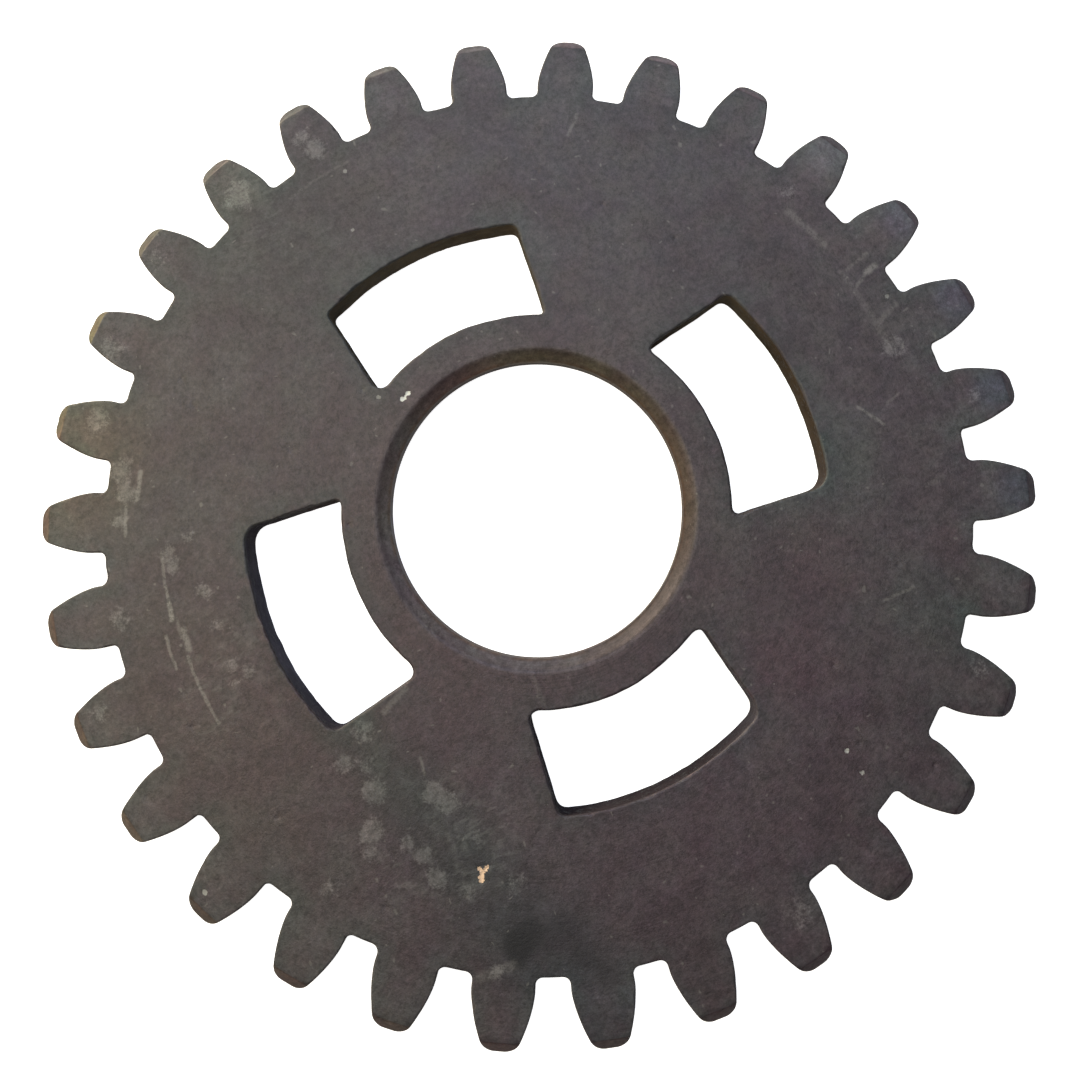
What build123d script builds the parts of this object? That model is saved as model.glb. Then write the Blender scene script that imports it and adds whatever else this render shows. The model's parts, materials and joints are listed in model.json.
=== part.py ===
"""Thin steel plate spur gear: 30 full-depth teeth, a plain chamfered bore and four windows between rim and hub ring.

Frame: the origin is on the bore axis at the back face, +Z points from the back face to the front face,
a tooth is centred on +X and the four windows are centred on +X, +Y, -X and -Y. All lengths are in millimetres.
"""

import os
from math import acos, cos, pi, radians, sin, sqrt, tan

from build123d import *

# Tooth form
module = 4.0
teeth = 30
pressure_angle = 20.0
tip_radius = 63.5
root_radius = 54.9
tip_corner_radius = 1.0
root_fillet_radius = 0.85

# Plate and bore
thickness = 5.5
bore_radius = 18.75
bore_chamfer = 1.4
tip_chamfer = 1.4

# Windows
window_count = 4
window_inner_radius = 24.8
window_outer_radius = 37.1
window_reference_x = 30.2
window_half_width = 13.15
window_side_angle = 8.2
window_corner_radius = 1.2

# Worked out from the dimensions above
pitch_radius = module * teeth / 2
base_radius = pitch_radius * cos(radians(pressure_angle))
pitch_half_angle = pi / (2 * teeth)

# Modelling aids: points along each flank curve, overlap of a tooth into the rim, spare stock on the blank
flank_points = 9
tooth_foot_depth = 3.0
trim_margin = 1.0


def involute(angle):
    """Angle swept by an involute between its base circle and the point with this pressure angle."""
    return tan(angle) - angle


def flank_half_angle(radius):
    """Half the angle that a tooth fills at this radius."""
    here = involute(acos(base_radius / radius))
    return pitch_half_angle + involute(radians(pressure_angle)) - here


def polar(radius, angle):
    """Point at this radius and angle, in radians, from +X."""
    return (radius * cos(angle), radius * sin(angle))


def tooth_face():
    """One tooth centred on +X: radial below the base circle, involute above it, closed well inside the rim."""
    foot_radius = root_radius - tooth_foot_depth
    step = (tip_radius - base_radius) / (flank_points - 1)
    radii = [base_radius + step * i for i in range(flank_points)]
    upper = [polar(r, flank_half_angle(r)) for r in radii]
    lower = [polar(r, -flank_half_angle(r)) for r in radii]
    foot_angle = flank_half_angle(base_radius)
    upper_foot = polar(foot_radius, foot_angle)
    lower_foot = polar(foot_radius, -foot_angle)
    with BuildSketch() as tooth:
        with BuildLine():
            Line(lower_foot, lower[0])
            Spline(*lower)
            ThreePointArc(lower[-1], (tip_radius, 0), upper[-1])
            Spline(*reversed(upper))
            Line(upper[0], upper_foot)
            Line(upper_foot, lower_foot)
        make_face()
    return tooth.sketch


def corners_at(sketch, radius):
    """The sketch's vertices at this distance from the bore axis."""
    return [v for v in sketch.vertices() if abs(Vector(v).length - radius) < 0.01]


def toothed_outline():
    """Disc with all teeth, with rounded tooth tips and filleted roots."""
    with BuildSketch() as outline:
        Circle(root_radius)
        with PolarLocations(0, teeth):
            add(tooth_face())
        fillet(corners_at(outline, tip_radius), tip_corner_radius)
        fillet(corners_at(outline, root_radius), root_fillet_radius)
    return outline.sketch


def window_face():
    """One window centred on +X: two arcs about the bore axis joined by straight sides that open outwards."""
    slope = tan(radians(window_side_angle))
    offset = window_half_width - slope * window_reference_x

    def corner(radius):
        """Point where the upper side line meets a circle about the bore axis."""
        a = 1 + slope**2
        b = slope * offset
        c = offset**2 - radius**2
        x = (-b + sqrt(b**2 - a * c)) / a
        return (x, slope * x + offset)

    inner_x, inner_y = corner(window_inner_radius)
    outer_x, outer_y = corner(window_outer_radius)
    with BuildSketch() as window:
        with BuildLine():
            Line((inner_x, inner_y), (outer_x, outer_y))
            ThreePointArc((outer_x, outer_y), (window_outer_radius, 0), (outer_x, -outer_y))
            Line((outer_x, -outer_y), (inner_x, -inner_y))
            ThreePointArc((inner_x, -inner_y), (window_inner_radius, 0), (inner_x, inner_y))
        make_face()
        fillet(window.vertices(), window_corner_radius)
    return window.sketch


def turned_envelope():
    """Turned blank that trims the tooth tips: a disc whose two outer edges carry the tip chamfer."""
    with BuildPart() as blank:
        Cylinder(tip_radius + trim_margin, thickness, align=(Align.CENTER, Align.CENTER, Align.MIN))
        chamfer(blank.edges().filter_by(GeomType.CIRCLE), tip_chamfer + trim_margin)
    return blank.part


def spur_gear():
    """The whole gear as one solid."""
    with BuildPart() as gear:
        add(toothed_outline())
        extrude(amount=thickness)
        add(turned_envelope(), mode=Mode.INTERSECT)
        with BuildSketch():
            with PolarLocations(0, window_count):
                add(window_face())
        extrude(amount=thickness, mode=Mode.SUBTRACT)
        with BuildSketch():
            Circle(bore_radius)
        extrude(amount=thickness, mode=Mode.SUBTRACT)
        circles = gear.edges().filter_by(GeomType.CIRCLE)
        bore_rims = [e for e in circles if abs(e.radius - bore_radius) < 0.01]
        chamfer(bore_rims, bore_chamfer)
    return gear.part


def main():
    gear = spur_gear()
    gear.label = "spur_gear"
    os.makedirs("parts", exist_ok=True)
    export_step(gear, "parts/spur_gear.step")


main()
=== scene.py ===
import json
import random
from math import acos, atan2, ceil, cos, pi, radians, sin, sqrt, tan

import bpy
import numpy as np
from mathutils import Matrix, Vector, noise
from mathutils.geometry import delaunay_2d_cdt


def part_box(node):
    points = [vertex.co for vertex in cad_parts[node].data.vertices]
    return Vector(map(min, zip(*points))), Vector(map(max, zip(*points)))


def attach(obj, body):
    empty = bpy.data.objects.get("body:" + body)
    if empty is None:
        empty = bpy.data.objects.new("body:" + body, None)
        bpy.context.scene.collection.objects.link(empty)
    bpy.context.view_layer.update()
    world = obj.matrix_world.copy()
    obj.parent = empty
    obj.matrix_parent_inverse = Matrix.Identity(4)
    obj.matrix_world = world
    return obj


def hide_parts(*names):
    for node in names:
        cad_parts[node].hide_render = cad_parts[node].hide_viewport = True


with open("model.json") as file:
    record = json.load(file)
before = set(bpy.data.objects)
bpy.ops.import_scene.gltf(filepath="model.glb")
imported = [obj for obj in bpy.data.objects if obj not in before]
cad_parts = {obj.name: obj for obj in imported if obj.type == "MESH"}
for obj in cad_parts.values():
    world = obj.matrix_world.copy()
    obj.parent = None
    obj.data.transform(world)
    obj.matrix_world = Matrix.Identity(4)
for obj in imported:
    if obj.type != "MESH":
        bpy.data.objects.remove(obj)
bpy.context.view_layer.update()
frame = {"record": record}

# ----------------
# Sizes, in millimetres. The frame gives the outside sizes and the bore; Blender works in metres.

MM = 0.001
NODE = "spur_gear"
box_low, box_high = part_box(NODE)
bore_mount = next(m for m in frame["record"]["mounts"] if m["name"] == "bore")

THICKNESS = (box_high.z - box_low.z) / MM
TIP_RADIUS = box_high.x / MM
BORE_RADIUS = bore_mount["dims"]["r_mm"]
BORE_CHAMFER = (THICKNESS - bore_mount["dims"]["length_mm"]) / 2

MODULE = 4.0
TEETH = 30
PRESSURE_ANGLE = radians(20)
ROOT_RADIUS = 54.9
TIP_CORNER = 1.0
ROOT_FILLET = 0.85
TIP_CHAMFER = 1.4

WINDOW_INNER = 24.8
WINDOW_OUTER = 37.1
WINDOW_MIDDLE = 30.2
WINDOW_HALF_WIDTH = 13.15
WINDOW_SIDE_ANGLE = radians(8.2)

PITCH = 2 * pi / TEETH
BASE_RADIUS = MODULE * TEETH / 2 * cos(PRESSURE_ANGLE)
CHAMFER_START = TIP_RADIUS - TIP_CHAMFER

# Fillet radii of each window's corners, outer left, outer right, inner right and inner left as seen from the
# hub, for the windows from +X anticlockwise. No two windows are alike in the photograph.
WINDOW_CORNERS = [
    (0.9, 2.0, 1.3, 1.3),
    (0.8, 0.9, 1.1, 2.1),
    (1.3, 1.9, 1.4, 2.4),
    (1.6, 1.1, 1.9, 2.1),
]

# Finish of the two kinds of cut wall. Wear is from 0 to 1; roughness is the depth of the cut's marks.
TOOTH_FINISH = {"edge": 0.16, "nicks": 70, "wear": 0.3, "roughness": 0.02}
WINDOW_FINISH = {"edge": 0.26, "nicks": 6, "wear": 0.0, "roughness": 0.08}
# The windows' outlines also wander: size and depth of each wave
WINDOW_WOBBLES = ((6.0, 0.10), (1.6, 0.05))
# Tip corners vary from tooth to tooth by factors in this range
TIP_CORNER_RANGE = (0.85, 1.2)
# Half width of the soft crease where a tip's chamfer starts, depth of the waves left by rolling, radius to
# which the rim of the bore's chamfer is worn, and the ease of its inner edge
CREASE = 0.08
WAVE = 0.02
RIM_WEAR = 1.1
BORE_EDGE = 0.12
# Narrowest and widest broken edge, and the ranges of its nicks' widths and depths
EDGE_LIMITS = (0.06, 0.5)
NICK_WIDTHS = (0.35, 0.9)
NICK_DEPTHS = (0.06, 0.22)
# Small dents: how many in each face, how far from the bore axis, and the ranges of their radii and depths
FRONT_PITS = 26
BACK_PITS = 34
PIT_PLACES = (22.5, 60.5)
PIT_RADII = (0.35, 0.8)
PIT_DEPTHS = (0.03, 0.08)
# One seed for the shape and one for the paint
SHAPE_SEED = 30
PAINT_SEED = 7

# Spacing of the mesh: along a window's outline, over the faces and from each edge to the first ring inside it
LOOP_STEP = 0.38
GRID = 0.85
EDGE_SUPPORT = 0.14
# Steps, points or rows of points along each stretch
FLANK_STEPS = 17
GAP_STEPS = 4
SIDE_POINTS = 200
CORNER_POINTS = 14
CREASE_POINTS = 17
EDGE_ROWS = 4
WALL_STEPS = 7
BORE_POINTS = 288

# Small spots where the scale has chipped off bare metal, front face: radius, angle, size, strength
WHITE_CHIPS = [
    (22.1, 115.5, 0.30, 1.0),
    (21.9, 114.9, 0.26, 1.0),
    (22.05, 114.1, 0.20, 1.0),
    (22.15, 113.3, 0.24, 1.0),
    (22.0, 112.8, 0.28, 1.0),
    (24.7, 119.6, 0.30, 0.25),
    (47.8, -64, 0.26, 0.6),
    (50.7, -65, 0.24, 0.4),
    (53.1, 4.5, 0.26, 0.25),
    (51.4, 94, 0.28, 0.25),
    (43.8, 98, 0.28, 0.25),
    (60.5, -157, 0.28, 0.4),
]
CREAM_CHIP = [
    (44.7, -124.5, 0.28, 1.0),
    (44.25, -124.6, 0.34, 1.0),
    (43.8, -124.6, 0.35, 1.0),
    (43.45, -125.0, 0.26, 1.0),
    (43.35, -124.1, 0.25, 1.0),
    (43.1, -123.8, 0.16, 0.8),
]


def on_gear(radius, angle):
    """Point on the gear at this radius in millimetres and angle in degrees from +X."""
    return (radius * cos(radians(angle)), radius * sin(radians(angle)), 0.0)


def value_noise(points, size, seed):
    """Smooth noise from -1 to 1 at each point; size is the width of one feature in millimetres."""
    shift = Vector((seed * 17.3, seed * 5.1, seed * 9.7))
    return np.array([noise.noise(Vector(p) / size + shift) for p in points])


# Marks on the front face, at places read off the photograph. Radius and width in millimetres, angle
# in degrees from +X, strength from 0 to 1.
# Rub marks run round the axis: radius, first angle, last angle, width, strength
RUBS = [
    (47.7, 161, 166, 0.32, 0.45),
    (47.6, 166, 169, 0.32, 0.7),
    (47.6, 168.5, 171, 0.46, 1.0),
    (47.1, 171, 174, 0.32, 0.35),
    (46.6, 173, 176, 0.62, 0.65),
    (47.1, 177, 188, 0.32, 0.5),
    (48.9, 173, 178, 0.30, 0.55),
    (50.9, 149, 153, 0.44, 0.65),
    (52.3, 154, 158, 0.36, 0.45),
    (50.0, -2, 11, 0.7, 0.20),
    (50.9, 16, 23, 0.8, 0.35),
    (52.4, 93, 103, 0.3, 0.2),
]
# Scratches: radius and angle of one end, radius and angle of the other, width, strength
SCRATCHES = [
    (52.6, 58, 49.6, 59, 0.40, 0.35),
    (54.4, 11, 51.0, 11, 0.40, 0.3),
    (54.2, 9, 52.6, 9, 0.60, 0.8),
    (52.8, 9, 50.4, 8, 0.35, 0.4),
    (53.5, 3, 50.3, 2, 0.6, 0.3),
    (43.0, -9, 45.6, -13, 0.35, 0.5),
    (48.6, -9, 46.7, -10, 0.35, 0.25),
    (51.6, -22, 49.4, -23, 0.6, 0.2),
    (44.8, -41, 47.9, -38, 0.35, 0.35),
    (57.1, 50, 56.6, 45, 0.9, 0.12),
    (55.4, -123, 53.6, -119, 0.9, 0.3),
    (27.5, -152, 31.2, -153, 0.6, 0.3),
    (20.9, -117, 23.9, -114, 0.5, 0.2),
    (33.5, -141, 35.0, -139, 0.3, 0.4),
]
# Tints of the scale left by heat and oil: radius, angle, reach, colour by which it multiplies the steel
ZONES = [
    (0, 0, 36, (1.04, 0.86, 0.88)),
    (22, 175, 12, (0.95, 0.94, 0.95)),
    (50, 108, 20, (0.84, 0.92, 0.87)),
    (62, 109, 10, (1.22, 1.22, 1.10)),
    (60, 148, 14, (1.28, 1.24, 0.94)),
    (46, -170, 24, (1.05, 0.97, 0.95)),
    (30, -165, 24, (0.96, 0.87, 0.92)),
    (40, -116, 34, (0.97, 0.86, 0.96)),
    (46, -72, 32, (1.06, 0.93, 1.03)),
    (58, -20, 32, (1.24, 1.26, 1.29)),
    (63, 20, 20, (1.36, 1.34, 1.32)),
    (52, 60, 24, (0.98, 1.01, 1.02)),
    (38.5, -17, 8.0, (0.90, 1.05, 0.98)),
    (51, -40, 9.0, (0.90, 1.04, 0.98)),
    (36, -37, 8.0, (1.07, 0.94, 0.97)),
    (37, -56, 8.0, (1.08, 0.93, 0.98)),
    (52.5, -32, 4.5, (1.07, 0.94, 0.98)),
    (35.5, -153, 6.0, (0.82, 1.02, 0.94)),
    (37.5, -142, 7.0, (0.74, 0.96, 0.88)),
    (41, -131, 8.0, (0.72, 0.92, 0.86)),
    (46, -123, 9.0, (0.76, 0.95, 0.90)),
    (52, -115, 10.0, (0.68, 0.80, 0.82)),
    (58, -108, 8.0, (0.80, 0.88, 0.92)),
    (60.6, 24, 4.0, (1.15, 1.22, 1.32)),
    (61.2, 12, 4.0, (1.18, 1.30, 1.48)),
    (61.0, 0, 4.0, (1.20, 1.34, 1.58)),
    (60.5, -12, 4.0, (0.88, 1.00, 1.20)),
    (60.5, -24, 4.0, (0.84, 0.98, 1.14)),
]
# Dark oil stains: radius, angle, reach, strength
STAINS = [
    (51.6, -118.4, 3.2, 1.0),
    (50.4, -117.0, 3.6, 0.7),
    (50.0, -112.5, 4.0, 0.45),
    (52.5, -109.5, 3.5, 0.45),
    (55.0, -107.5, 3.0, 0.45),
    (48.2, 160, 2.0, 0.3),
]
# Pale smears and water spots: radius, angle, reach, strength
SMEARS = [
    (58.0, 143, 2.6, 0.6),
    (53.5, 149, 2.6, 0.8),
    (52.5, 152, 2.4, 0.8),
    (53.0, 156, 1.4, 0.7),
    (44.0, 159, 1.6, 0.5),
    (47.0, 161, 1.6, 0.7),
    (46.5, 163, 1.8, 0.7),
    (43.0, 168, 1.8, 0.6),
    (42.5, 174, 1.6, 0.5),
    (42.5, -179, 1.6, 0.6),
    (41.0, -176, 1.6, 0.6),
    (43.0, -176, 1.2, 0.5),
    (54.0, 169, 2.4, 0.6),
    (59.5, 179, 2.0, 0.5),
    (34.5, -154, 2.2, 0.6),
    (39.0, -153, 2.0, 0.7),
    (37.5, -150, 2.0, 0.5),
    (39.5, -146, 2.2, 1.0),
    (36.5, -136, 2.0, 0.9),
    (37.0, -133, 2.2, 1.0),
    (43.5, -143, 2.2, 1.0),
    (46.0, -142, 1.6, 0.6),
    (43.0, -137, 1.4, 0.8),
    (43.5, -134, 1.8, 0.9),
    (45.5, -131, 2.0, 0.9),
    (46.0, -126, 2.0, 0.7),
    (40.0, -126, 1.2, 0.6),
    (44.5, -119, 2.0, 0.5),
    (51.5, -145, 2.4, 0.5),
    (54.5, -121, 1.6, 0.6),
    (59.0, 134, 2.6, 0.6),
    (60.0, 121, 2.4, 0.4),
    (57.5, 108, 3.2, 0.8),
    (58.5, 97, 2.2, 0.7),
    (56.0, 96, 2.4, 0.8),
    (53.0, 25, 2.0, 0.5),
    (50.5, -2, 2.4, 0.7),
    (58.0, -12, 1.8, 0.5),
    (58.0, -46, 2.4, 0.4),
    (57.0, -83, 3.2, 0.4),
]
# Places where the face is streaked, as if handled or wiped: radius, angle, reach, strength
HANDLED = [
    (42, -132, 14, 1.0),
    (43, -178, 13, 0.8),
    (55, 108, 12, 0.6),
    (47, 10, 50, 0.15),
]
# Painted light and shade round the bore's chamfer: a colour that multiplies the steel and makes each part of
# it lighter, darker or warmer by the way it faces: angle, red, green, blue
BORE_PAINTED_LIGHT = [
    (-26, 0.93, 0.75, 0.52),
    (4, 1.18, 0.96, 0.64),
    (34, 1.50, 1.44, 0.95),
    (64, 1.95, 1.95, 1.12),
    (94, 1.95, 1.50, 1.25),
    (124, 1.65, 1.65, 1.40),
    (154, 2.50, 2.50, 2.20),
    (184, 2.50, 2.45, 2.50),
    (214, 2.05, 2.25, 2.25),
    (244, 1.68, 1.90, 2.05),
    (274, 0.60, 0.52, 0.60),
    (304, 0.42, 0.27, 0.29),
]
# Painted light and shade on the tooth tips' chamfers: a colour that multiplies the steel and makes each tip
# lighter, darker or tinted by the way it faces: angle, red, green, blue
TIP_PAINTED_LIGHT = [
    (0, 1.50, 1.32, 1.55),
    (24, 1.45, 1.30, 1.50),
    (48, 2.25, 2.10, 2.40),
    (72, 1.85, 1.80, 1.95),
    (84, 1.85, 2.10, 2.00),
    (96, 1.60, 1.65, 1.60),
    (120, 1.60, 1.50, 1.15),
    (132, 2.45, 2.20, 1.25),
    (157, 1.90, 1.45, 1.05),
    (181, 1.50, 1.15, 0.85),
    (193, 1.65, 1.30, 1.00),
    (205, 1.30, 1.00, 0.80),
    (229, 1.25, 0.92, 0.84),
    (265, 0.85, 0.62, 0.70),
    (301, 1.02, 0.82, 0.98),
    (336, 1.15, 0.98, 1.14),
]


# ----------------
# Outlines of the gear in plan

def involute(angle):
    """Angle swept by an involute between its base circle and the point with this pressure angle."""
    return tan(angle) - angle


def flank_width(radius):
    """Half the width of a tooth, measured along the circle of this radius; radial below the base circle."""
    r = max(radius, BASE_RADIUS)
    half_angle = PITCH / 4 + involute(PRESSURE_ANGLE) - involute(acos(BASE_RADIUS / r))
    return radius * half_angle


def half_tooth(tip_corner):
    """(radius, angle) from the middle of the tip, down the flank, to the middle of the gap."""
    quarter = [radians(a) for a in (90, 72, 54, 36, 18, 0)]
    land_end = (flank_width(TIP_RADIUS) - tip_corner) / TIP_RADIUS
    points = [(TIP_RADIUS, 0.0), (TIP_RADIUS, land_end / 2)]
    for a in quarter:
        r = TIP_RADIUS - tip_corner * (1 - sin(a))
        points.append((r, (flank_width(r) - tip_corner * (1 - cos(a))) / r))
    top = TIP_RADIUS - tip_corner
    bottom = ROOT_RADIUS + ROOT_FILLET
    for i in range(1, FLANK_STEPS):
        r = top + (bottom - top) * i / FLANK_STEPS
        points.append((r, flank_width(r) / r))
    for a in reversed(quarter):
        r = ROOT_RADIUS + ROOT_FILLET * (1 - sin(a))
        points.append((r, (flank_width(r) + ROOT_FILLET * (1 - cos(a))) / r))
    gap_start = points[-1][1]
    for i in range(1, GAP_STEPS):
        points.append((ROOT_RADIUS, gap_start + (PITCH / 2 - gap_start) * i / GAP_STEPS))
    points.append((ROOT_RADIUS, PITCH / 2))
    return points


def tooth_outline(rng):
    """Closed outline of all the teeth, anticlockwise, with the tip corners of each worn differently."""
    points = []
    for tooth in range(TEETH):
        centre = tooth * PITCH
        first = half_tooth(TIP_CORNER * rng.uniform(*TIP_CORNER_RANGE))
        second = half_tooth(TIP_CORNER * rng.uniform(*TIP_CORNER_RANGE))
        points += [(r * cos(centre - a), r * sin(centre - a)) for r, a in reversed(first[1:])]
        points += [(r * cos(centre + a), r * sin(centre + a)) for r, a in second[:-1]]
    return np.array(points)


def side_meets_circle(radius):
    """Angle at which a window's upper side line meets a circle about the bore axis."""
    slope = tan(WINDOW_SIDE_ANGLE)
    offset = WINDOW_HALF_WIDTH - slope * WINDOW_MIDDLE
    a = 1 + slope**2
    b = slope * offset
    c = offset**2 - radius**2
    x = (-b + sqrt(b * b - a * c)) / a
    return atan2(slope * x + offset, x)


def window_outline(turn, corners):
    """Closed outline of the window at this turn from +X, clockwise, so its normals point into the opening."""
    outer = side_meets_circle(WINDOW_OUTER)
    inner = side_meets_circle(WINDOW_INNER)

    def arc(radius, start, end):
        return [np.array([radius * cos(t), radius * sin(t)]) for t in np.linspace(start, end, SIDE_POINTS)]

    def line(start, end):
        return [start + (end - start) * t for t in np.linspace(0, 1, SIDE_POINTS)]

    sides = [arc(WINDOW_OUTER, outer, -outer), None, arc(WINDOW_INNER, -inner, inner), None]
    sides[1] = line(sides[0][-1], sides[2][0])
    sides[3] = line(sides[2][-1], sides[0][0])
    # Each side stops short of its two corners, and a curve rounds each corner between them
    trimmed = []
    for i, side in enumerate(sides):
        side = [p for p in side if np.linalg.norm(p - sides[i][0]) > corners[i]]
        side = [p for p in side if np.linalg.norm(p - sides[i][-1]) > corners[(i + 1) % 4]]
        trimmed.append(side)
    loop = []
    for i, side in enumerate(trimmed):
        loop += side
        corner = sides[i][-1]
        after = trimmed[(i + 1) % 4][0]
        for t in np.linspace(0, 1, CORNER_POINTS)[1:-1]:
            loop.append((1 - t) ** 2 * side[-1] + 2 * t * (1 - t) * corner + t * t * after)
    turned = np.array([[cos(turn), sin(turn)], [-sin(turn), cos(turn)]])
    return resample(np.array(loop) @ turned, LOOP_STEP)


def resample(loop, step):
    """The same closed loop with evenly spaced points."""
    closed = np.vstack([loop, loop[:1]])
    lengths = np.r_[0, np.cumsum(np.linalg.norm(np.diff(closed, axis=0), axis=1))]
    count = ceil(lengths[-1] / step)
    at = np.linspace(0, lengths[-1], count, endpoint=False)
    return np.c_[np.interp(at, lengths, closed[:, 0]), np.interp(at, lengths, closed[:, 1])]


def loop_normals(loop):
    """Unit normals to the right of travel, which is out of the metal on every loop here."""
    along = np.roll(loop, -1, axis=0) - np.roll(loop, 1, axis=0)
    normals = np.c_[along[:, 1], -along[:, 0]]
    return normals / np.linalg.norm(normals, axis=1)[:, None]


def inside(points, loop):
    """Which points lie inside a closed loop, by counting crossings."""
    x, y = points[:, 0][:, None], points[:, 1][:, None]
    result = np.zeros(len(points), bool)
    after = np.roll(loop, -1, axis=0)
    batch = 256
    for i in range(0, len(loop), batch):
        x0, y0 = loop[i:i + batch].T
        x1, y1 = after[i:i + batch].T
        spans = (y0 > y) != (y1 > y)
        with np.errstate(divide="ignore", invalid="ignore"):
            crossing = x < (x1 - x0) * (y - y0) / (y1 - y0) + x0
        result ^= (np.count_nonzero(spans & crossing, axis=1) % 2).astype(bool)
    return result


def distance_to_loop(points, loop):
    """Distance from each point to the nearest vertex of a loop."""
    batches = np.array_split(points, max(1, len(points) // 2000))
    return np.concatenate([
        np.sqrt(((batch[:, None, :] - loop[None, :, :]) ** 2).sum(2).min(1)) for batch in batches
    ])


# ----------------
# The gear's mesh: walls with broken edges, chamfered tips, turned bore and dense flat faces

def face_drop(xy, pits):
    """How far a face lies below its plane: rolling waves, pits and the chamfer turned over the tooth tips.
    The number of pits is the waves' seed, which gives each face its own waves."""
    x, y = xy.T
    radius = np.hypot(x, y)
    over = radius - CHAMFER_START
    soft = (over + CREASE) ** 2 / (4 * CREASE)
    drop = np.where(over > CREASE, over, np.where(over > -CREASE, soft, 0))
    flat = np.c_[x, y, np.zeros(len(x))]
    # The waves fade out towards the bore, whose first ring lies in the plane
    clear_of_bore = np.clip((radius - BORE_RADIUS - BORE_CHAMFER - 0.5) / 3, 0, 1)
    drop = drop + WAVE * (1 + value_noise(flat, 9.0, len(pits))) / 2 * clear_of_bore
    for px, py, size, depth in pits:
        share = np.clip(1 - ((x - px) ** 2 + (y - py) ** 2) / size**2, 0, 1)
        drop = drop + depth * share**2
    return drop


class MeshBuilder:
    """Collects vertices with their wear and wall values, and faces, for one closed mesh."""

    def __init__(self):
        self.vertices = []
        self.wear = []
        self.wall = []
        self.faces = []

    def add_row(self, xy, z, wear, wall):
        """Adds a row of vertices, at one height or at a height each, and returns their indices."""
        start = len(self.vertices)
        for (x, y), height in zip(xy, np.broadcast_to(z, len(xy))):
            self.vertices.append((x, y, height))
            self.wear.append(wear)
            self.wall.append(wall)
        return list(range(start, len(self.vertices)))

    def bridge(self, upper, lower):
        """Quads between two rings of equal length, facing out of the metal."""
        for i in range(len(upper)):
            j = (i + 1) % len(upper)
            self.faces.append((upper[i], lower[i], lower[j], upper[j]))


def edge_radius(loop, rng, nicks, edge, roughness):
    """Broken-edge radius along a loop: slowly varying, ragged on a rough cut, and with some small nicks."""
    flat = np.c_[loop, np.zeros(len(loop))]
    seed = rng.random()
    radius = edge * (1 + 0.4 * value_noise(flat, 2.5, seed))
    radius += 2.2 * roughness * value_noise(flat, 0.9, seed + 1)
    for _ in range(nicks):
        centre = loop[rng.randrange(len(loop))]
        width = rng.uniform(*NICK_WIDTHS)
        depth = rng.uniform(*NICK_DEPTHS)
        away = np.linalg.norm(loop - centre, axis=1)
        radius += depth * np.exp(-(away / width) ** 2)
    return np.clip(radius, *EDGE_LIMITS)


def face_height(side, drop):
    """Height of a point that lies this far below the front face (side 1) or the back face (side -1)."""
    return side * (THICKNESS / 2 - drop) + THICKNESS / 2


def build_wall(mesh, loop, rng, pits, edge, nicks, wear, roughness):
    """Wall of one cut loop from face to face with both edges broken. Returns its two rings on the faces."""
    normals = loop_normals(loop)
    edges = [edge_radius(loop, rng, nicks, edge, roughness) for _ in range(2)]
    halves = []
    for side, radius, marks in zip((1, -1), edges, pits):
        inset = loop - normals * (radius + EDGE_SUPPORT)[:, None]
        height = face_height(side, face_drop(inset, marks))
        half = [mesh.add_row(inset, height, wear * 0.45, 0.0)]
        for i in range(EDGE_ROWS):
            a = radians(90) * (1 - i / (EDGE_ROWS - 1))
            inset = loop - normals * (radius * (1 - cos(a)))[:, None]
            height = face_height(side, face_drop(inset, marks) + radius * (1 - sin(a)))
            half.append(mesh.add_row(inset, height, wear, 1 - sin(a)))
        halves.append(half)
    top, bottom = halves
    top_z = np.array([mesh.vertices[i][2] for i in top[-1]])
    bottom_z = np.array([mesh.vertices[i][2] for i in bottom[-1]])
    middle = []
    for i in range(1, WALL_STEPS):
        share = i / WALL_STEPS
        z = top_z + (bottom_z - top_z) * share
        depth = roughness * (0.5 - 0.5 * value_noise(np.c_[loop * 0.9, z * 0.25], 0.8, 3))
        middle.append(mesh.add_row(loop - normals * depth[:, None], z, 0.0, 1.0))
    rings = top + middle + bottom[::-1]
    for upper, lower in zip(rings, rings[1:]):
        mesh.bridge(upper, lower)
    return top[0], bottom[0]


def bore_profile():
    """(radius, height, wear, wall) down the bore from the front face's ring to the middle of its wall."""
    outer = BORE_RADIUS + BORE_CHAMFER
    knee = THICKNESS - BORE_CHAMFER
    profile = [(outer + 0.6, THICKNESS, 0.1, 0.0)]
    # The rim is worn round: an arc that turns from the face into the chamfer's slope
    for share in (0, 0.25, 0.5, 0.75, 1):
        a = radians(45) * share
        r = outer + RIM_WEAR * (tan(radians(22.5)) - sin(a))
        profile.append((r, THICKNESS - RIM_WEAR * (1 - cos(a)), 0.35, 0.0))
    for share in (0.5, 0.85):
        profile.append((outer - BORE_CHAMFER * share, THICKNESS - BORE_CHAMFER * share, 0.15, 0.0))
    return profile + [
        (BORE_RADIUS + BORE_EDGE * 0.2, knee + BORE_EDGE * 0.1, 0.6, 0.6),
        (BORE_RADIUS, knee - BORE_EDGE, 0.5, 1.0),
        (BORE_RADIUS, knee - BORE_EDGE - 0.45, 0.0, 1.0),
        (BORE_RADIUS, THICKNESS / 2, 0.0, 1.0),
    ]


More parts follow.
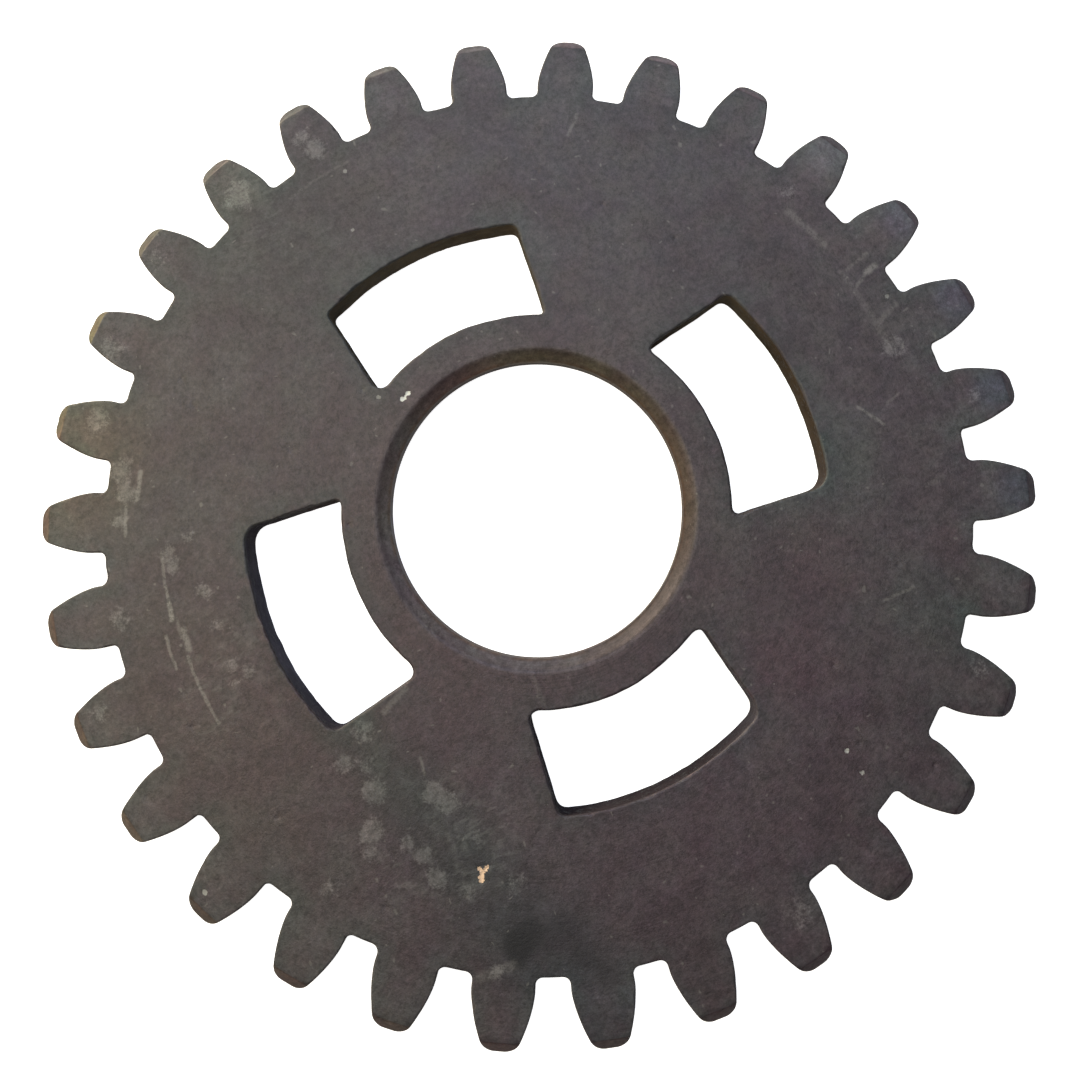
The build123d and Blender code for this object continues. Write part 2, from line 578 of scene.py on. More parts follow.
def build_bore(mesh):
    """Turned bore with its two chamfers. Returns its two rings on the faces."""
    angles = [-2 * pi * i / BORE_POINTS for i in range(BORE_POINTS)]
    profile = bore_profile()
    mirrored = [(r, THICKNESS - z, wear, wall) for r, z, wear, wall in profile[-2::-1]]
    rings = []
    for r, z, wear, wall in profile + mirrored:
        ring = [(r * cos(a), r * sin(a)) for a in angles]
        rings.append(mesh.add_row(ring, z, wear, wall))
    for upper, lower in zip(rings, rings[1:]):
        mesh.bridge(upper, lower)
    return rings[0], rings[-1]


def even_grid(bore_ring, pits):
    """Even triangular grid over the face, open at the bore, along the tips' creases and in each pit."""
    row_step = GRID * sqrt(3) / 2
    rows = int(TIP_RADIUS / row_step) + 1
    grid = []
    for j in range(-rows, rows + 1):
        for i in range(-rows, rows + 1):
            grid.append(((i + (j % 2) / 2) * GRID, j * row_step))
    grid = np.array(grid)
    radius = np.hypot(grid[:, 0], grid[:, 1])
    keep = (radius < TIP_RADIUS) & (radius > bore_ring + GRID * 0.6)
    keep &= abs(radius - CHAMFER_START) > GRID * 0.4
    for x, y, size, _ in pits:
        keep &= np.hypot(grid[:, 0] - x, grid[:, 1] - y) > size * 1.2
    return grid[keep]


def crease_points():
    """Three rows of close points across every tooth, where its tip's chamfer starts."""
    points = []
    for tooth in range(TEETH):
        for r in (CHAMFER_START - CREASE * 1.5, CHAMFER_START, CHAMFER_START + CREASE * 1.5):
            half = flank_width(r) / r
            for a in np.linspace(-half, half, CREASE_POINTS):
                points.append((r * cos(tooth * PITCH + a), r * sin(tooth * PITCH + a)))
    return points


def pit_points(pits):
    """The middle of each pit and three rings of close points round it."""
    points = []
    for x, y, size, _ in pits:
        points.append((x, y))
        for share in (0.3, 0.6, 0.9):
            for a in np.linspace(0, 2 * pi, int(6 + 8 * share), endpoint=False):
                points.append((x + size * share * cos(a + share), y + size * share * sin(a + share)))
    return points


def face_points(outer, windows, bore, pits):
    """Points inside the face's loops, clear of the loops themselves."""
    grid = even_grid(np.hypot(bore[0, 0], bore[0, 1]), pits)
    close = np.array(crease_points() + pit_points(pits))
    kept = []
    for points, margin in ((grid, GRID * 0.5), (close, TOOTH_FINISH["edge"] + EDGE_SUPPORT)):
        points = points[inside(points, outer)]
        points = points[distance_to_loop(points, outer) > margin * 0.8]
        for window in windows:
            points = points[~inside(points, window)]
            points = points[distance_to_loop(points, window) > margin]
        kept.append(points)
    return np.vstack(kept)


def build_faces(mesh, rings, pits):
    """Fills the front and the back face between their rings with the same dense triangles."""
    xy = np.array([v[:2] for v in mesh.vertices])
    loops = [xy[front] for front, _ in rings]
    inner_points = face_points(loops[0], loops[2:], loops[1], pits[0] + pits[1])
    coords = [Vector(p) for loop in loops for p in loop] + [Vector(p) for p in inner_points]
    edges = []
    start = 0
    for loop in loops:
        edges += [(start + i, start + (i + 1) % len(loop)) for i in range(len(loop))]
        start += len(loop)
    verts, _, triangles, origins, _, _ = delaunay_2d_cdt(coords, edges, [], 1, 1e-5)
    source = [origin[0] if origin else None for origin in origins]
    if None in source or len(verts) != len(coords):
        raise RuntimeError("the face's loops cross or touch")

    # The triangles that fill the bore and the windows are left out
    centres = np.array([[sum(coords[source[i]][k] for i in t) / 3 for k in (0, 1)] for t in triangles])
    solid = np.hypot(centres[:, 0], centres[:, 1]) > np.hypot(*loops[1][0]) * cos(pi / BORE_POINTS)
    for window in loops[2:]:
        solid &= ~inside(centres, window)
    for which, side in ((0, 1), (1, -1)):
        ids = [i for pair in rings for i in pair[which]]
        ids += mesh.add_row(inner_points, face_height(side, face_drop(inner_points, pits[which])), 0.0, 0.0)
        for triangle, keep in zip(triangles, solid):
            if keep:
                a, b, c = (ids[source[i]] for i in triangle)
                mesh.faces.append((a, b, c) if side > 0 else (c, b, a))


def soft_marks(xy, marks):
    """Strongest of some round marks at each point: full over a quarter of its reach, then fading to 0."""
    result = np.zeros(len(xy))
    for radius, angle, reach, strength in marks:
        away = np.hypot(*(xy - on_gear(radius, angle)[:2]).T)
        share = np.clip((reach - away) / (reach * 0.75), 0, 1)
        result = np.maximum(result, strength * share**2 * (3 - 2 * share))
    return result


def random_marks(rng, count, least, most):
    """Round marks scattered over a face: radius, angle, reach from least to most, strength."""
    ranges = ((22, 62), (0, 360), (least, most), (0.2, 0.8))
    return [tuple(rng.uniform(*limits) for limits in ranges) for _ in range(count)]


def scale_tint_and_painted_light(xy, on_front, rng):
    """Colour by which the scale's tints multiply the steel: the ZONES in front, and random ones behind; on
    the bore's and the tips' chamfers, painted light and shade instead.
    """
    tint_and_painted_light = np.ones((len(xy), 3))
    for radius, angle, reach, colour in ZONES:
        share = soft_marks(xy, [(radius, angle, reach, 1.0)]) * on_front
        tint_and_painted_light *= 1 + share[:, None] * (np.array(colour) - 1)
    for mark in random_marks(rng, 16, 8, 22):
        share = soft_marks(xy, [mark]) * ~on_front
        colour = (rng.uniform(0.85, 1.15), rng.uniform(0.9, 1.1), rng.uniform(0.85, 1.1))
        tint_and_painted_light *= 1 + share[:, None] * (np.array(colour) - 1)

    # Painted light and shade, set by the way each chamfer faces, take over on the bore's and the tips'
    # chamfers, mirrored on the back
    angles = np.degrees(np.arctan2(xy[:, 1], xy[:, 0])) * np.where(on_front, 1, -1)
    radius = np.hypot(xy[:, 0], xy[:, 1])
    in_bore = np.clip((BORE_RADIUS + BORE_CHAMFER + 0.35 - radius) / 0.95, 0, 1)
    on_tip = np.clip((radius - CHAMFER_START + 0.12) / 0.15, 0, 1)
    for table, share in ((BORE_PAINTED_LIGHT, in_bore), (TIP_PAINTED_LIGHT, on_tip)):
        table_angles, *channels = zip(*table)
        for channel, values in enumerate(channels):
            around = np.interp(angles, table_angles, values, period=360)
            tint_and_painted_light[:, channel] += share * (around - tint_and_painted_light[:, channel])
    return tint_and_painted_light


def painted_layers(vertices, loops):
    """What is painted on the vertices: the scale's tint with painted light and shade on the chamfers, and
    amounts of pale film, dark oil, wiped streaks and greener scale near an edge."""
    rng = random.Random(PAINT_SEED)
    xy = vertices[:, :2]
    flat = np.c_[xy, np.zeros(len(xy))]
    wander = np.c_[value_noise(flat, 2.2, 3), value_noise(flat, 2.2, 4)]
    ragged = xy + wander * 0.6
    on_front = vertices[:, 2] > THICKNESS / 2
    tint_and_painted_light = scale_tint_and_painted_light(xy, on_front, rng)
    pale_behind = soft_marks(ragged, random_marks(rng, 40, 1, 3))
    oil_behind = soft_marks(ragged, random_marks(rng, 5, 2, 6))
    return {
        "tint_and_painted_light": tint_and_painted_light,
        "pale": np.where(on_front, soft_marks(ragged, SMEARS), pale_behind),
        "oil": np.where(on_front, soft_marks(ragged, STAINS), oil_behind),
        "handled": soft_marks(xy, HANDLED),
        "edge_scale": np.exp(-(distance_to_loop(xy, loops) / 1.8) ** 2),
    }


def scattered_pits(rng, count):
    """Small dents in a face, as (x, y, radius, depth)."""
    pits = []
    for _ in range(count):
        x, y, _ = on_gear(rng.uniform(*PIT_PLACES), rng.uniform(0, 360))
        pits.append((x, y, rng.uniform(*PIT_RADII), rng.uniform(*PIT_DEPTHS)))
    return pits


def chip_pits():
    """The chips' own shallow dents in the front face, as (x, y, radius, depth)."""
    pits = []
    for radius, angle, size, strength in WHITE_CHIPS + CREAM_CHIP:
        x, y, _ = on_gear(radius, angle)
        pits.append((x, y, size * 1.3, 0.05 * strength))
    return pits


def wobbled(loop, number):
    """A window's outline with the slow and the quick wander of a rough cut."""
    flat = np.c_[loop, np.zeros(len(loop))]
    wobble = 0
    for i, (size, depth) in enumerate(WINDOW_WOBBLES):
        wobble += depth * value_noise(flat, size, 11 + 10 * i + number)
    return loop + loop_normals(loop) * wobble[:, None]


def gear_mesh():
    """The whole gear as one closed mesh, in metres."""
    rng = random.Random(SHAPE_SEED)
    mesh = MeshBuilder()
    outline = tooth_outline(rng)
    pits = [chip_pits() + scattered_pits(rng, FRONT_PITS), scattered_pits(rng, BACK_PITS)]
    rings = [build_wall(mesh, outline, rng, pits, **TOOTH_FINISH), build_bore(mesh)]
    for number, corners in enumerate(WINDOW_CORNERS):
        loop = wobbled(window_outline(number * pi / 2, corners), number)
        rings.append(build_wall(mesh, loop, rng, pits, **WINDOW_FINISH))
    build_faces(mesh, rings, pits)
    data = bpy.data.meshes.new("spur_gear_finish")
    data.from_pydata([tuple(c * MM for c in v) for v in mesh.vertices], [], mesh.faces)

    # Every cut edge of the front face, which leaves out the turned bore
    edges = np.array([mesh.vertices[i][:2] for front, _ in rings[:1] + rings[2:] for i in front])
    layers = {"wear": mesh.wear, "wall": mesh.wall}
    layers.update(painted_layers(np.array(mesh.vertices), edges))
    for name, values in layers.items():
        kind, field = ("FLOAT", "value") if np.ndim(values) == 1 else ("FLOAT_VECTOR", "vector")
        layer = data.attributes.new(name, kind, "POINT")
        layer.data.foreach_set(field, np.ravel(values).astype(np.float32))
    data.update()
    data.validate()
    data.shade_smooth()
    return data


def new_object(name, data):
    """Adds an object to the scene."""
    added = bpy.data.objects.new(name, data)
    bpy.context.scene.collection.objects.link(added)
    return added


gear = new_object("spur_gear_body", gear_mesh())
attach(gear, "root")
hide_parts(NODE)

# ----------------
# Shader helpers. Every value may be a number, a tuple or another node's output.

class Shader:
    """Short calls that add and link the nodes of one material or world."""

    def __init__(self, material):
        material.use_nodes = True
        self.tree = material.node_tree

    def feed(self, socket, value):
        """Links an output to this input, or gives the input a fixed value."""
        if isinstance(value, bpy.types.NodeSocket):
            self.tree.links.new(value, socket)
        else:
            socket.default_value = value

    def node(self, kind, values=(), **settings):
        """A new node of this kind; values go to its inputs in order, or by name from a dictionary."""
        node = self.tree.nodes.new("ShaderNode" + kind)
        for name, setting in settings.items():
            setattr(node, name, setting)
        named = values.items() if isinstance(values, dict) else enumerate(values)
        for key, value in named:
            self.feed(node.inputs[key], value)
        return node

    def math(self, operation, *values):
        """Result of one sum, product or function of numbers."""
        return self.node("Math", values, operation=operation).outputs[0]

    def vector(self, operation, *values):
        """Result of one operation on vectors, which is a vector or a number."""
        node = self.node("VectorMath", values, operation=operation)
        single = operation in ("LENGTH", "DISTANCE", "DOT_PRODUCT")
        return node.outputs["Value" if single else "Vector"]

    def scaled(self, vector, factor):
        """A vector or colour times a number."""
        node = self.node("VectorMath", {"Vector": vector, "Scale": factor}, operation="SCALE")
        return node.outputs["Vector"]

    def ramp(self, value, low, high, start=0.0, end=1.0):
        """Smooth step from start, where value is at low, to end, where it is at high."""
        values = (value, low, high, start, end)
        return self.node("MapRange", values, interpolation_type="SMOOTHSTEP").outputs[0]

    def product(self, *values):
        """All the values multiplied together."""
        result = values[0]
        for value in values[1:]:
            result = self.math("MULTIPLY", result, value)
        return result

    def strongest(self, values):
        """The largest of the values."""
        result = values[0]
        for value in values[1:]:
            result = self.math("MAXIMUM", result, value)
        return result

    def noise(self, place, size, seed, octaves=1, roughness=0.5, output="Fac"):
        """Noise about 0.5 whose widest features are about size millimetres across."""
        moved = self.vector("ADD", place, (seed * 13.1, seed * 7.7, seed * 3.3))
        values = {"Vector": moved, "Scale": 1 / size, "Detail": octaves - 1.0, "Roughness": roughness}
        return self.node("TexNoise", values).outputs[output]

    def swing(self, value, gain, about=1.0):
        """The value in about, plus gain times how far the first value is from a half."""
        return self.math("MULTIPLY_ADD", self.math("SUBTRACT", value, 0.5), gain, about)

    def mix(self, factor, first, second):
        """The first colour where factor is 0, blending into the second where it is 1."""
        node = self.node("Mix", data_type="RGBA")
        for index, value in ((0, factor), (6, first), (7, second)):
            self.feed(node.inputs[index], value)
        return node.outputs[2]

    def attribute(self, name, output="Fac"):
        """A layer painted on the mesh."""
        return self.node("Attribute", attribute_name=name).outputs[output]


def tone(r, g, b):
    """Opaque colour of these linear amounts of red, green and blue."""
    return (r, g, b, 1.0)


# ----------------
# Blackened steel

STEEL_BROWN = tone(0.0500, 0.0390, 0.0445)
STEEL_GREEN = tone(0.0475, 0.0412, 0.0445)
EDGE_SCALE = (0.82, 0.97, 0.93)
RIM_RUST = (1.00, 0.72, 0.50)
BARE_STEEL = tone(0.30, 0.29, 0.27)
WHITE_METAL = tone(0.52, 0.53, 0.50)
CREAM_METAL = tone(0.66, 0.47, 0.33)
PALE_SCALE = tone(0.098, 0.098, 0.092)
PALE_DUST = (0.050, 0.053, 0.050)
DARK_OIL = tone(0.0080, 0.0078, 0.0110)
# The window walls' soot colours hold painted light and shade: each is the tone of one window's walls as lit
BLACK_SOOT_AND_SHADE = tone(0.036, 0.029, 0.033)
NAVY_SOOT_AND_SHADE = tone(0.066, 0.062, 0.078)
BROWN_SOOT_AND_SHADE = tone(0.050, 0.038, 0.028)
OLIVE_SOOT_AND_SHADE = tone(0.084, 0.070, 0.052)
# The flanks' colours hold painted light and shade: darker brown for the side turned to the key light, purple
# for the other
BROWN_FLANK_SHADE = tone(0.052, 0.039, 0.030)
PURPLE_FLANK_SHADE = tone(0.066, 0.056, 0.059)

# Radii that tell the walls apart: the windows' lie in this ring, the bore's within the next radius and the
# teeth's beyond the one after it. Two gears touch each other's flanks in the last ring.
WINDOW_RING = (23.5, 39.5)
BORE_WITHIN = 19.5
TEETH_BEYOND = 52
CONTACT_RING = (57.5, 62.3)


class GearSteel(Shader):
    """The gear's one material, built in layers from the face outwards to its edges and walls."""

    def __init__(self, material):
        super().__init__(material)
        coordinates = self.node("TexCoord")
        self.place = self.scaled(coordinates.outputs["Object"], 1 / MM)
        x, y, z = self.node("SeparateXYZ", (self.place,)).outputs
        self.flat = self.vector("MULTIPLY", self.place, (1, 1, 0))
        self.radius = self.vector("LENGTH", self.flat)
        self.angle = self.math("DEGREES", self.math("ARCTAN2", y, x))
        normal = self.node("SeparateXYZ", (coordinates.outputs["Normal"],))
        self.front = self.ramp(normal.outputs["Z"], 0.3, 0.6)
        self.wall = self.attribute("wall")
        self.wear = self.attribute("wear")
        # Distances from the bore axis, to the right and upwards in the camera's picture: the walls' colours
        # differ from one side to the other as painted light and shade
        self.across = self.vector("DOT_PRODUCT", self.flat, (0.90, -0.44, 0))
        self.along = self.vector("DOT_PRODUCT", self.flat, (0.44, 0.90, 0))

        # The noises that all the layers share
        self.broad = self.noise(self.place, 13, 2, 3, 0.8)
        self.middle = self.noise(self.place, 4.2, 3, 3, 0.7)
        self.fine = self.noise(self.place, 0.9, 5, 4, 0.9)
        self.hues = self.noise(self.place, 5.0, 9, 4, 0.85, "Color")
        wander = self.vector("SUBTRACT", self.noise(self.place, 1.3, 4, 2, 0.5, "Color"), (0.5, 0.5, 0.5))
        wander = self.vector("MULTIPLY", wander, (1, 1, 0))
        self.ragged = self.vector("ADD", self.flat, self.scaled(wander, 1.6))
        self.straight = self.vector("ADD", self.flat, self.scaled(wander, 0.35))
        self.rings = self.noise(self.node("CombineXYZ", (self.radius, z, 0.0)).outputs[0], 0.3, 10, 2)

        # Walls: burnt in the windows, plain in the bore and on the flanks of the teeth, and all three with
        # painted light and shade laid over them
        windows = self.between(self.radius, *WINDOW_RING, 0.5)
        self.burnt_and_shaded = self.product(self.ramp(self.swing(self.fine, 0.8, self.wall), 0.30, 1.0), windows)
        self.in_bore = self.product(self.wall, self.ramp(self.radius, BORE_WITHIN + 0.5, BORE_WITHIN))
        self.on_flank = self.product(self.wall, self.ramp(self.radius, TEETH_BEYOND - 2, TEETH_BEYOND))
        # Where the teeth look rubbed by another gear's
        touched = self.product(self.ramp(self.wall, 0.9, 1.0), self.ramp(self.broad, 0.35, 0.6))
        self.contact = self.product(self.between(self.radius, *CONTACT_RING, 0.9), touched)

    def between(self, value, low, high, soft):
        """1 between two values, with soft ends."""
        return self.product(self.ramp(value, low - soft, low), self.ramp(value, high + soft, high))

    def rub(self, radius, first, last, width, strength):
        """A mark that runs round the axis."""
        turned = self.math("SUBTRACT", self.angle, (first + last) / 2)
        turned = self.math("ABSOLUTE", self.math("WRAP", turned, 180, -180))
        past_end = self.math("MAXIMUM", self.math("SUBTRACT", turned, (last - first) / 2), 0)
        along = self.math("MULTIPLY", past_end, radians(radius))
        across = self.math("SUBTRACT", self.vector("LENGTH", self.straight), radius)
        along_squared = self.math("MULTIPLY", along, along)
        away = self.math("SQRT", self.math("MULTIPLY_ADD", across, across, along_squared))
        return self.ramp(away, width, width * 0.2, 0, strength)

    def scratch(self, radius_1, angle_1, radius_2, angle_2, width, strength):
        """A straight mark between two points."""
        start, end = Vector(on_gear(radius_1, angle_1)), Vector(on_gear(radius_2, angle_2))
        along = end - start
        offset = self.vector("SUBTRACT", self.straight, tuple(start))
        share = self.vector("DOT_PRODUCT", offset, tuple(along / along.length_squared))
        share = self.math("MINIMUM", self.math("MAXIMUM", share, 0), 1)
        away = self.vector("DISTANCE", offset, self.scaled(tuple(along), share))
        return self.ramp(away, width, width * 0.15, 0, strength)

    def speckle(self, size, seed, share, reach):
        """Scattered round spots: one in every cell of this size, of which only a share shows."""
        place = self.vector("ADD", self.ragged, (seed * 11.3, seed * 5.9, 0))
        cells = self.node("TexVoronoi", {"Vector": place, "Scale": 1 / size}, voronoi_dimensions="2D")
        pick = self.node("SeparateColor", (cells.outputs["Color"],))
        chosen = self.ramp(pick.outputs[0], 1 - share, 1 - share + 0.02)
        extent = self.math("MULTIPLY", self.math("MULTIPLY_ADD", pick.outputs[1], 0.8, 0.4), reach / size)
        shape = self.math("SUBTRACT", 1, self.math("DIVIDE", cells.outputs["Distance"], extent))
        return self.product(self.math("MAXIMUM", shape, 0), chosen)

    def face(self):
        """Blackened rolled face: brown and green patches, mottled at every scale, greener along each edge."""
        mixed = self.math("MULTIPLY_ADD", self.broad, 0.65, self.product(self.middle, 0.35))
        colour = self.mix(self.ramp(mixed, 0.42, 0.58), STEEL_BROWN, STEEL_GREEN)
        grain = self.swing(self.fine, 1.2)
        mottle = self.product(self.swing(self.broad, 0.8), self.swing(self.middle, 0.65), grain, grain)
        teeth = self.between(self.radius, 57, CHAMFER_START - 0.3, 1.5)
        mottle = self.product(mottle, self.math("MULTIPLY_ADD", teeth, 0.16, 1.0))
        # The tint layer brings painted light and shade onto the bore's and the tips' chamfers
        colour = self.vector("MULTIPLY", self.scaled(colour, mottle), self.attribute("tint_and_painted_light", "Vector"))
        drift = self.scaled(self.vector("SUBTRACT", self.hues, (0.5, 0.5, 0.5)), 0.22)
        colour = self.vector("MULTIPLY_ADD", colour, drift, colour)
        edge_scale = self.product(self.attribute("edge_scale"), self.ramp(self.middle, 0.30, 0.55))
        return self.mix(edge_scale, colour, self.vector("MULTIPLY", colour, EDGE_SCALE))

    def pale_film(self):
        """Soft pale smears and water spots, broken up by the grain, and streaks where the plate was wiped."""
        smears = self.ramp(self.swing(self.fine, 1.2, self.attribute("pale")), 0.20, 0.75)
        smears = self.product(smears, self.swing(self.fine, 2.0))
        handled = self.attribute("handled")
        cells = self.strongest([self.speckle(3.4, 1, 0.5, 1.5), self.speckle(2.0, 2, 0.4, 0.7)])
        stretched = self.noise(self.vector("MULTIPLY", self.straight, (0.35, 1.0, 1.0)), 0.8, 8, 2, 0.8)
        streaks = self.product(self.ramp(stretched, 0.52, 0.64), self.ramp(self.broad, 0.42, 0.58))
        spots = self.strongest([self.product(cells, 0.7), self.product(streaks, 0.6)])
        return self.strongest([smears, self.product(spots, handled)])

    def rubs(self):
        """Pale rubbed and scratched marks on the front."""
        marks = self.strongest([self.rub(*r) for r in RUBS] + [self.scratch(*s) for s in SCRATCHES])
        return self.product(marks, self.ramp(self.fine, 0.38, 0.54, 0.45, 1), self.front)

    def chips(self, marks):
        """Small jagged spots of bare metal on the front."""
        spots = []
        for radius, angle, size, strength in marks:
            away = self.swing(self.fine, 0.8, self.vector("DISTANCE", self.flat, on_gear(radius, angle)))
            spots.append(self.ramp(away, size * 1.15, size * 0.85, 0, strength))
        return self.product(self.strongest(spots), self.front)

    def wall_mottle(self):
        """Brightness of the walls' mottling."""
        return self.product(self.swing(self.middle, 1.2), self.swing(self.fine, 1.8))

    def marked_face(self):
        """The face with its film, oil, specks, scratches, chips, turned rings and worn edges."""
        colour = self.face()
        film = self.vector("MULTIPLY_ADD", colour, (1.15, 1.15, 1.15), PALE_DUST)
        colour = self.mix(self.product(self.pale_film(), 0.8), colour, film)
        oil = self.ramp(self.swing(self.fine, 0.5, self.attribute("oil")), 0.12, 0.95)
        colour = self.mix(self.product(oil, 0.9), colour, DARK_OIL)
        specks = self.ramp(self.speckle(2.2, 3, 0.16, 0.27), 0.0, 0.7)
        colour = self.mix(self.product(specks, 0.20), colour, BARE_STEEL)
        hairs = self.ramp(self.math("ABSOLUTE", self.math("SUBTRACT", self.fine, 0.5)), 0.010, 0.0)
        hairs = self.product(hairs, self.ramp(self.middle, 0.50, 0.60))
        colour = self.mix(self.product(hairs, 0.10), colour, BARE_STEEL)
        colour = self.mix(self.product(self.rubs(), 0.5), colour, BARE_STEEL)
        colour = self.mix(self.chips(WHITE_CHIPS), colour, WHITE_METAL)
        colour = self.mix(self.chips(CREAM_CHIP), colour, CREAM_METAL)

        # Faint turned rings on the hub, on the side where they still show
        hub = self.product(self.ramp(self.radius, 24.0, 23.0), self.between(self.angle, -115, -70, 25))
        colour = self.mix(hub, colour, self.scaled(colour, self.ramp(self.rings, 0.40, 0.52, 0.80, 1.0)))
        worn = self.product(self.wear, self.ramp(self.fine, 0.42, 0.6), 0.3)
        return self.mix(worn, colour, PALE_SCALE)

    def soot_and_shade(self):
        """Soot on the window walls with painted light and shade, which colours each window by the side it
        lies on: black in the window on the -Y side, bluish in the one on the -X side, brown in the one on the
        +X side and olive in the one on the +Y side."""
        soot_and_shade = self.mix(self.ramp(self.along, -31, -22), BLACK_SOOT_AND_SHADE, NAVY_SOOT_AND_SHADE)
        soot_and_shade = self.mix(self.ramp(self.along, -12, 12), soot_and_shade, BROWN_SOOT_AND_SHADE)
        soot_and_shade = self.mix(self.ramp(self.along, 20, 27), soot_and_shade, OLIVE_SOOT_AND_SHADE)
        return self.scaled(soot_and_shade, self.wall_mottle())

    def walled(self, colour):
        """The face's colour with the bore's, the windows' and the flanks' walls laid over it."""
        # Soot with painted light and shade on the window walls
        colour = self.mix(self.burnt_and_shaded, colour, self.soot_and_shade())
        # Painted shade: the bore's wall is darkened
        colour = self.mix(self.in_bore, colour, self.scaled(colour, 0.8))
        rust = self.product(self.ramp(self.radius, 19.2, 18.85), self.ramp(self.middle, 0.35, 0.5), 0.7)
        colour = self.mix(rust, colour, self.vector("MULTIPLY", colour, RIM_RUST))
        # Painted light and shade on the flanks: darker brown on the side turned to the key light, purple on
        # the other
        flank = self.mix(self.ramp(self.across, -12, 12), BROWN_FLANK_SHADE, PURPLE_FLANK_SHADE)
        flank = self.scaled(flank, self.wall_mottle())
        colour = self.mix(self.on_flank, colour, flank)
        return self.mix(self.product(self.contact, 0.3), colour, BARE_STEEL)

    def finish(self):
        """Joins the layers into the material's surface."""
        colour = self.walled(self.marked_face())

        rough = self.product(self.swing(self.middle, 0.5), 0.52)
        rough = self.math("SUBTRACT", rough, self.product(self.contact, 0.15))
        height = self.product(self.noise(self.place, 0.40, 15, 2, 0.8), 0.030)
        height = self.math("MULTIPLY_ADD", self.rings, 0.012, height)
        bump = self.node("Bump", {"Strength": 1.0, "Distance": MM, "Height": height})
        tips = self.ramp(self.radius, CHAMFER_START - 0.05, CHAMFER_START + 0.1)
        shares = ((self.burnt_and_shaded, 1.0), (self.in_bore, 0.8), (self.on_flank, 0.6), (tips, 0.8))
        dull = self.strongest([self.product(place, share) for place, share in shares])

        surface = self.tree.nodes["Principled BSDF"].inputs
        self.feed(surface["Base Color"], colour)
        self.feed(surface["Roughness"], rough)
        self.feed(surface["Metallic"], self.math("MULTIPLY_ADD", dull, -0.3, 0.3))
        self.feed(surface["Specular IOR Level"], self.math("MULTIPLY_ADD", dull, -0.5, 0.5))
        self.feed(surface["Normal"], bump.outputs[0])


steel = bpy.data.materials.new("blackened_steel")
GearSteel(steel).finish()
gear.data.materials.append(steel)

# ----------------
# Stage, light and camera

LIGHT_DISTANCE = 0.55
LIGHT_SIZE = 0.35
# Brightness of the room as a light, and of its backdrop as the camera sees it
ROOM_LIGHT = 0.06
BACKDROP = 1.0
# Half the floor's width, its gap below the gear, its own glow, and how much more of it the camera sees
FLOOR_HALF = 1.5
FLOOR_GAP = 0.00005
FLOOR_GLOW = 0.10
FLOOR_SEEN = 0.85

# The camera stands over the bore, its picture plane tilted against the face, with the gear low in its view.
# Its place is in millimetres from the middle of the front face, its tilts and turn are about X, Y and Z. All
# of it was fitted to the photograph's perspective.
CAMERA_LENS = 40.03
CAMERA_PLACE = (0.31, -6.45, 153.9)
CAMERA_TILTS = (radians(11.23), radians(1.0))
CAMERA_TURN = radians(-26.05)
CAMERA_SHIFT = (0.0002, -0.2098)
# From farther away than this the same camera looks straight at the gear, so its shift is let go
CLOSE_UP = 0.185


def view_direction(angle, elevation):
    """Unit vector from the gear at this angle round the picture (0 right, 90 up) and this elevation."""
    a = radians(angle) + CAMERA_TURN
    e = radians(elevation)
    return Vector((cos(a) * cos(e), sin(a) * cos(e), sin(e)))


def area_light(name, angle, elevation, power, color):
    """Round soft light aimed at the gear."""
    data = bpy.data.lights.new(name, "AREA")
    data.shape = "DISK"
    data.size = LIGHT_SIZE
    data.energy = power
    data.color = color
    light = new_object(name, data)
    light.location = view_direction(angle, elevation) * LIGHT_DISTANCE
    light.rotation_mode = "QUATERNION"
    light.rotation_quaternion = light.location.to_track_quat("Z", "Y")
    return light


area_light("key", 137, 12, 4.7, (1.0, 0.87, 0.66))
area_light("left_softbox", 180, 60, 1.5, (1.0, 0.92, 0.66))
area_light("top_softbox", 90, 60, 1.2, (0.68, 0.80, 1.0))
area_light("overhead", 0, 88, 0.4, (1.0, 1.0, 1.0))
# This light only warms the walls: mirrored in a face it would glare orange
low_warm = area_light("low_warm", 215, 10, 0.5, (1.0, 0.45, 0.10))
low_warm.visible_glossy = False

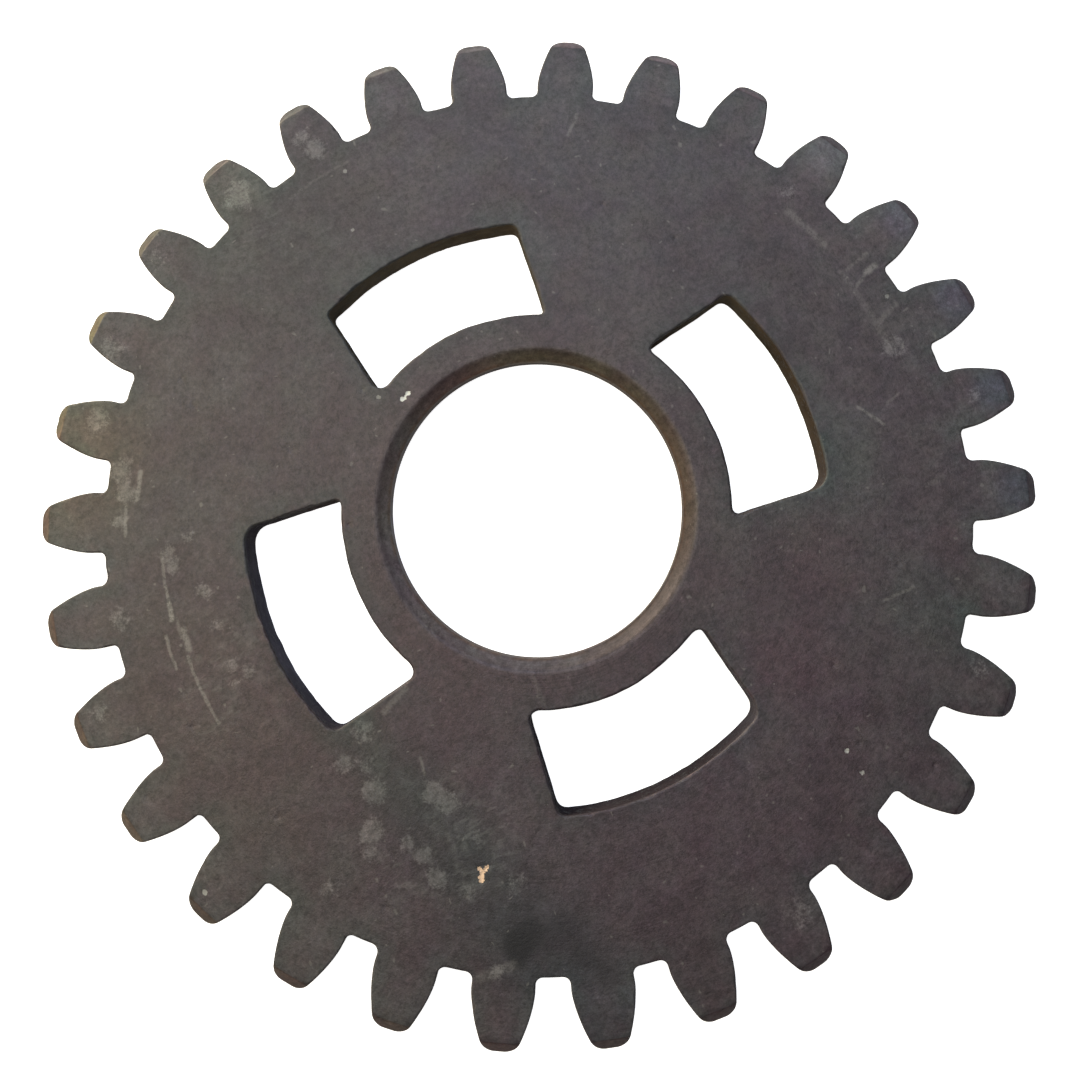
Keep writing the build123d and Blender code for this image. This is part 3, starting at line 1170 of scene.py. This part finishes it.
# The room is dim, so that edges turned away from the lights stay dark, but its backdrop looks pale
world = bpy.data.worlds.new("studio")
studio = Shader(world)
seen = studio.node("LightPath").outputs["Is Camera Ray"]
brightness = studio.node("MapRange", {"Value": seen, "To Min": ROOM_LIGHT, "To Max": BACKDROP})
background = studio.tree.nodes["Background"]
studio.feed(background.inputs["Strength"], brightness.outputs[0])
studio.feed(background.inputs["Color"], tone(1, 1, 1))
bpy.context.scene.world = world

# The floor's glow lets it meet the backdrop without a line
floor_data = bpy.data.meshes.new("floor")
corners = [(x * FLOOR_HALF, y * FLOOR_HALF, 0) for x, y in ((-1, -1), (1, -1), (1, 1), (-1, 1))]
floor_data.from_pydata(corners, [], [(0, 1, 2, 3)])
floor = new_object("floor", floor_data)
floor.location.z = box_low.z - FLOOR_GAP
pale = bpy.data.materials.new("pale_floor")
shader = Shader(pale)
surface = shader.tree.nodes["Principled BSDF"].inputs
shader.feed(surface["Base Color"], tone(0.9, 0.9, 0.9))
shader.feed(surface["Roughness"], 0.9)
shader.feed(surface["Emission Color"], tone(1, 1, 1))
seen = shader.node("LightPath").outputs["Is Camera Ray"]
shader.feed(surface["Emission Strength"], shader.math("MULTIPLY_ADD", seen, FLOOR_SEEN, FLOOR_GLOW))
floor_data.materials.append(pale)

bpy.context.scene.view_settings.view_transform = "Standard"

camera_data = bpy.data.cameras.new("camera")
camera_data.lens = CAMERA_LENS
camera_data.sensor_width = 36
camera_data.clip_start = 0.01
camera = new_object("camera", camera_data)
x, y, z = CAMERA_PLACE
camera.location = (x * MM, y * MM, box_high.z + z * MM)
camera.rotation_euler = (*CAMERA_TILTS, CAMERA_TURN)
bpy.context.scene.camera = camera


def shift_in_close_up(channel, shift):
    """Shifts the camera's picture, but only while the camera is close to the gear."""
    driver = camera_data.driver_add(channel).driver
    away = driver.variables.new()
    away.name = "away"
    away.type = "LOC_DIFF"
    away.targets[0].id = camera
    away.targets[1].id = gear
    driver.expression = f"{shift} if away < {CLOSE_UP} else 0"


shift_in_close_up("shift_x", CAMERA_SHIFT[0])
shift_in_close_up("shift_y", CAMERA_SHIFT[1])
